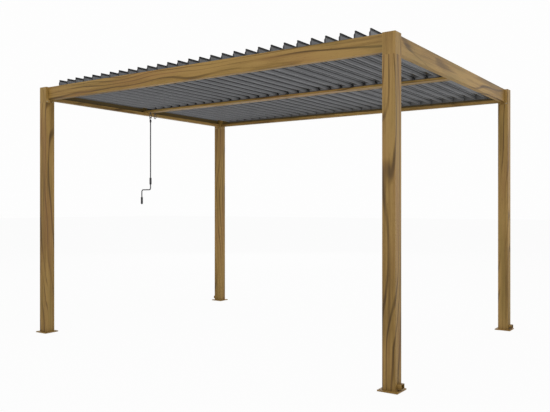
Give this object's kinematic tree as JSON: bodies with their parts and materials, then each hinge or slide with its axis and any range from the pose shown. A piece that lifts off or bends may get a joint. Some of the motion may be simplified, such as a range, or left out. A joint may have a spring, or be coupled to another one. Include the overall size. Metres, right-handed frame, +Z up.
{
  "type": "louvred pergola",
  "caption": "Free-standing square-post pergola with gutter beams, an openable roof of turning blades in two banks and a hanging crank.",
  "frame": {"origin": "plan centre of the frame at the underside of the base plates", "axes": "+X along the long side to the right, +Y along the short side to the back, +Z up"},
  "size_m": [4.01, 2.954, 2.573],
  "materials": {
    "wood_finish": "satin wood-grain film on aluminium",
    "blade_finish": "matte slate-grey powder coat",
    "strip_finish": "matte grey powder coat",
    "gear_finish": "matte dark grey paint",
    "bar_finish": "matte grey powder coat",
    "bare_steel": "satin steel",
    "crank_finish": "semi-matte dark grey paint",
    "grip_plastic": "matte plastic"
  },
  "bodies": {
    "frame": {"post_front_right": "wood_finish", "post_front_left": "wood_finish", "post_back_left": "wood_finish", "post_back_right": "wood_finish", "base_plate_front_right": "wood_finish", "base_plate_front_left": "wood_finish", "base_plate_back_left": "wood_finish", "base_plate_back_right": "wood_finish", "corner_front_right": "wood_finish", "corner_front_left": "wood_finish", "corner_back_left": "wood_finish", "corner_back_right": "wood_finish", "beam_front": "wood_finish", "beam_back": "wood_finish", "beam_left": "wood_finish", "beam_right": "wood_finish", "beam_middle": "wood_finish", "drain_spouts": "wood_finish", "pivot_strips": "strip_finish", "end_flashings": "blade_finish", "gearboxes": "gear_finish"},
    "crank": {"crank_eye_front": "bare_steel", "crank_rod": "crank_finish", "crank_grips": "grip_plastic"},
    "back_eye": {"crank_eye_back": "bare_steel"},
    "drive": {"drive_arms": "gear_finish"},
    "tilt": {"tilt_bars": "bar_finish"},
    "louvre_01": {"louvre_01": "blade_finish"},
    "louvre_02": {"louvre_02": "blade_finish"},
    "louvre_03": {"louvre_03": "blade_finish"},
    "louvre_04": {"louvre_04": "blade_finish"},
    "louvre_05": {"louvre_05": "blade_finish"},
    "louvre_06": {"louvre_06": "blade_finish"},
    "louvre_07": {"louvre_07": "blade_finish"},
    "louvre_08": {"louvre_08": "blade_finish"},
    "louvre_09": {"louvre_09": "blade_finish"},
    "louvre_10": {"louvre_10": "blade_finish"},
    "louvre_11": {"louvre_11": "blade_finish"},
    "louvre_12": {"louvre_12": "blade_finish"},
    "louvre_13": {"louvre_13": "blade_finish"},
    "louvre_14": {"louvre_14": "blade_finish"},
    "louvre_15": {"louvre_15": "blade_finish"},
    "louvre_16": {"louvre_16": "blade_finish"},
    "louvre_17": {"louvre_17": "blade_finish"},
    "louvre_18": {"louvre_18": "blade_finish"},
    "louvre_19": {"louvre_19": "blade_finish"},
    "louvre_20": {"louvre_20": "blade_finish"},
    "louvre_21": {"louvre_21": "blade_finish"},
    "louvre_22": {"louvre_22": "blade_finish"},
    "louvre_23": {"louvre_23": "blade_finish"},
    "louvre_24": {"louvre_24": "blade_finish"},
    "louvre_25": {"louvre_25": "blade_finish"},
    "louvre_26": {"louvre_26": "blade_finish"},
    "louvre_27": {"louvre_27": "blade_finish"},
    "louvre_28": {"louvre_28": "blade_finish"},
    "louvre_29": {"louvre_29": "blade_finish"}
  },
  "joints": [
    {"name": "crank_turn", "type": "hinge", "parent": "frame", "child": "crank", "pos_m": [-1.805, -0.038, 2.35], "axis": [0, 0, 1], "continuous": true},
    {"name": "back_eye_turn", "type": "hinge", "parent": "frame", "child": "back_eye", "pos_m": [-1.805, 0.038, 2.35], "axis": [0, 0, 1], "continuous": true},
    {"name": "louvre_01_tilt", "type": "hinge", "parent": "frame", "child": "louvre_01", "pos_m": [-1.743, 0, 2.472], "axis": [0, 1, 0], "range_deg": [0, 82]},
    {"name": "louvre_02_tilt", "type": "hinge", "parent": "frame", "child": "louvre_02", "pos_m": [-1.6185, 0, 2.472], "axis": [0, 1, 0], "range_deg": [0, 82]},
    {"name": "louvre_03_tilt", "type": "hinge", "parent": "frame", "child": "louvre_03", "pos_m": [-1.494, 0, 2.472], "axis": [0, 1, 0], "range_deg": [0, 82]},
    {"name": "louvre_04_tilt", "type": "hinge", "parent": "frame", "child": "louvre_04", "pos_m": [-1.3695, 0, 2.472], "axis": [0, 1, 0], "range_deg": [0, 82]},
    {"name": "louvre_05_tilt", "type": "hinge", "parent": "frame", "child": "louvre_05", "pos_m": [-1.245, 0, 2.472], "axis": [0, 1, 0], "range_deg": [0, 82]},
    {"name": "louvre_06_tilt", "type": "hinge", "parent": "frame", "child": "louvre_06", "pos_m": [-1.1205, 0, 2.472], "axis": [0, 1, 0], "range_deg": [0, 82]},
    {"name": "louvre_07_tilt", "type": "hinge", "parent": "frame", "child": "louvre_07", "pos_m": [-0.996, 0, 2.472], "axis": [0, 1, 0], "range_deg": [0, 82]},
    {"name": "louvre_08_tilt", "type": "hinge", "parent": "frame", "child": "louvre_08", "pos_m": [-0.8715, 0, 2.472], "axis": [0, 1, 0], "range_deg": [0, 82]},
    {"name": "louvre_09_tilt", "type": "hinge", "parent": "frame", "child": "louvre_09", "pos_m": [-0.747, 0, 2.472], "axis": [0, 1, 0], "range_deg": [0, 82]},
    {"name": "louvre_10_tilt", "type": "hinge", "parent": "frame", "child": "louvre_10", "pos_m": [-0.6225, 0, 2.472], "axis": [0, 1, 0], "range_deg": [0, 82]},
    {"name": "louvre_11_tilt", "type": "hinge", "parent": "frame", "child": "louvre_11", "pos_m": [-0.498, 0, 2.472], "axis": [0, 1, 0], "range_deg": [0, 82]},
    {"name": "louvre_12_tilt", "type": "hinge", "parent": "frame", "child": "louvre_12", "pos_m": [-0.3735, 0, 2.472], "axis": [0, 1, 0], "range_deg": [0, 82]},
    {"name": "louvre_13_tilt", "type": "hinge", "parent": "frame", "child": "louvre_13", "pos_m": [-0.249, 0, 2.472], "axis": [0, 1, 0], "range_deg": [0, 82]},
    {"name": "louvre_14_tilt", "type": "hinge", "parent": "frame", "child": "louvre_14", "pos_m": [-0.1245, 0, 2.472], "axis": [0, 1, 0], "range_deg": [0, 82]},
    {"name": "louvre_15_tilt", "type": "hinge", "parent": "frame", "child": "louvre_15", "pos_m": [0, 0, 2.472], "axis": [0, 1, 0], "range_deg": [0, 82]},
    {"name": "louvre_16_tilt", "type": "hinge", "parent": "frame", "child": "louvre_16", "pos_m": [0.1245, 0, 2.472], "axis": [0, 1, 0], "range_deg": [0, 82]},
    {"name": "louvre_17_tilt", "type": "hinge", "parent": "frame", "child": "louvre_17", "pos_m": [0.249, 0, 2.472], "axis": [0, 1, 0], "range_deg": [0, 82]},
    {"name": "louvre_18_tilt", "type": "hinge", "parent": "frame", "child": "louvre_18", "pos_m": [0.3735, 0, 2.472], "axis": [0, 1, 0], "range_deg": [0, 82]},
    {"name": "louvre_19_tilt", "type": "hinge", "parent": "frame", "child": "louvre_19", "pos_m": [0.498, 0, 2.472], "axis": [0, 1, 0], "range_deg": [0, 82]},
    {"name": "louvre_20_tilt", "type": "hinge", "parent": "frame", "child": "louvre_20", "pos_m": [0.6225, 0, 2.472], "axis": [0, 1, 0], "range_deg": [0, 82]},
    {"name": "louvre_21_tilt", "type": "hinge", "parent": "frame", "child": "louvre_21", "pos_m": [0.747, 0, 2.472], "axis": [0, 1, 0], "range_deg": [0, 82]},
    {"name": "louvre_22_tilt", "type": "hinge", "parent": "frame", "child": "louvre_22", "pos_m": [0.8715, 0, 2.472], "axis": [0, 1, 0], "range_deg": [0, 82]},
    {"name": "louvre_23_tilt", "type": "hinge", "parent": "frame", "child": "louvre_23", "pos_m": [0.996, 0, 2.472], "axis": [0, 1, 0], "range_deg": [0, 82]},
    {"name": "louvre_24_tilt", "type": "hinge", "parent": "frame", "child": "louvre_24", "pos_m": [1.1205, 0, 2.472], "axis": [0, 1, 0], "range_deg": [0, 82]},
    {"name": "louvre_25_tilt", "type": "hinge", "parent": "frame", "child": "louvre_25", "pos_m": [1.245, 0, 2.472], "axis": [0, 1, 0], "range_deg": [0, 82]},
    {"name": "louvre_26_tilt", "type": "hinge", "parent": "frame", "child": "louvre_26", "pos_m": [1.3695, 0, 2.472], "axis": [0, 1, 0], "range_deg": [0, 82]},
    {"name": "louvre_27_tilt", "type": "hinge", "parent": "frame", "child": "louvre_27", "pos_m": [1.494, 0, 2.472], "axis": [0, 1, 0], "range_deg": [0, 82]},
    {"name": "louvre_28_tilt", "type": "hinge", "parent": "frame", "child": "louvre_28", "pos_m": [1.6185, 0, 2.472], "axis": [0, 1, 0], "range_deg": [0, 82]},
    {"name": "louvre_29_tilt", "type": "hinge", "parent": "frame", "child": "louvre_29", "pos_m": [1.743, 0, 2.472], "axis": [0, 1, 0], "range_deg": [0, 82]},
    {"name": "drive_tilt", "type": "hinge", "parent": "frame", "child": "drive", "pos_m": [-1.833, 0, 2.472], "axis": [0, 1, 0], "range_deg": [0, 82]},
    {"name": "bar_level", "type": "hinge", "parent": "louvre_01", "child": "tilt", "pos_m": [-1.72332, 0, 2.44936], "axis": [0, 1, 0], "range_deg": [-82, 0]}
  ],
  "couplings": [
    {"joint": "louvre_02_tilt", "follows": "louvre_01_tilt", "ratio": 1},
    {"joint": "louvre_03_tilt", "follows": "louvre_01_tilt", "ratio": 1},
    {"joint": "louvre_04_tilt", "follows": "louvre_01_tilt", "ratio": 1},
    {"joint": "louvre_05_tilt", "follows": "louvre_01_tilt", "ratio": 1},
    {"joint": "louvre_06_tilt", "follows": "louvre_01_tilt", "ratio": 1},
    {"joint": "louvre_07_tilt", "follows": "louvre_01_tilt", "ratio": 1},
    {"joint": "louvre_08_tilt", "follows": "louvre_01_tilt", "ratio": 1},
    {"joint": "louvre_09_tilt", "follows": "louvre_01_tilt", "ratio": 1},
    {"joint": "louvre_10_tilt", "follows": "louvre_01_tilt", "ratio": 1},
    {"joint": "louvre_11_tilt", "follows": "louvre_01_tilt", "ratio": 1},
    {"joint": "louvre_12_tilt", "follows": "louvre_01_tilt", "ratio": 1},
    {"joint": "louvre_13_tilt", "follows": "louvre_01_tilt", "ratio": 1},
    {"joint": "louvre_14_tilt", "follows": "louvre_01_tilt", "ratio": 1},
    {"joint": "louvre_15_tilt", "follows": "louvre_01_tilt", "ratio": 1},
    {"joint": "louvre_16_tilt", "follows": "louvre_01_tilt", "ratio": 1},
    {"joint": "louvre_17_tilt", "follows": "louvre_01_tilt", "ratio": 1},
    {"joint": "louvre_18_tilt", "follows": "louvre_01_tilt", "ratio": 1},
    {"joint": "louvre_19_tilt", "follows": "louvre_01_tilt", "ratio": 1},
    {"joint": "louvre_20_tilt", "follows": "louvre_01_tilt", "ratio": 1},
    {"joint": "louvre_21_tilt", "follows": "louvre_01_tilt", "ratio": 1},
    {"joint": "louvre_22_tilt", "follows": "louvre_01_tilt", "ratio": 1},
    {"joint": "louvre_23_tilt", "follows": "louvre_01_tilt", "ratio": 1},
    {"joint": "louvre_24_tilt", "follows": "louvre_01_tilt", "ratio": 1},
    {"joint": "louvre_25_tilt", "follows": "louvre_01_tilt", "ratio": 1},
    {"joint": "louvre_26_tilt", "follows": "louvre_01_tilt", "ratio": 1},
    {"joint": "louvre_27_tilt", "follows": "louvre_01_tilt", "ratio": 1},
    {"joint": "louvre_28_tilt", "follows": "louvre_01_tilt", "ratio": 1},
    {"joint": "louvre_29_tilt", "follows": "louvre_01_tilt", "ratio": 1},
    {"joint": "drive_tilt", "follows": "louvre_01_tilt", "ratio": 1},
    {"joint": "bar_level", "follows": "louvre_01_tilt", "ratio": -1}
  ]
}
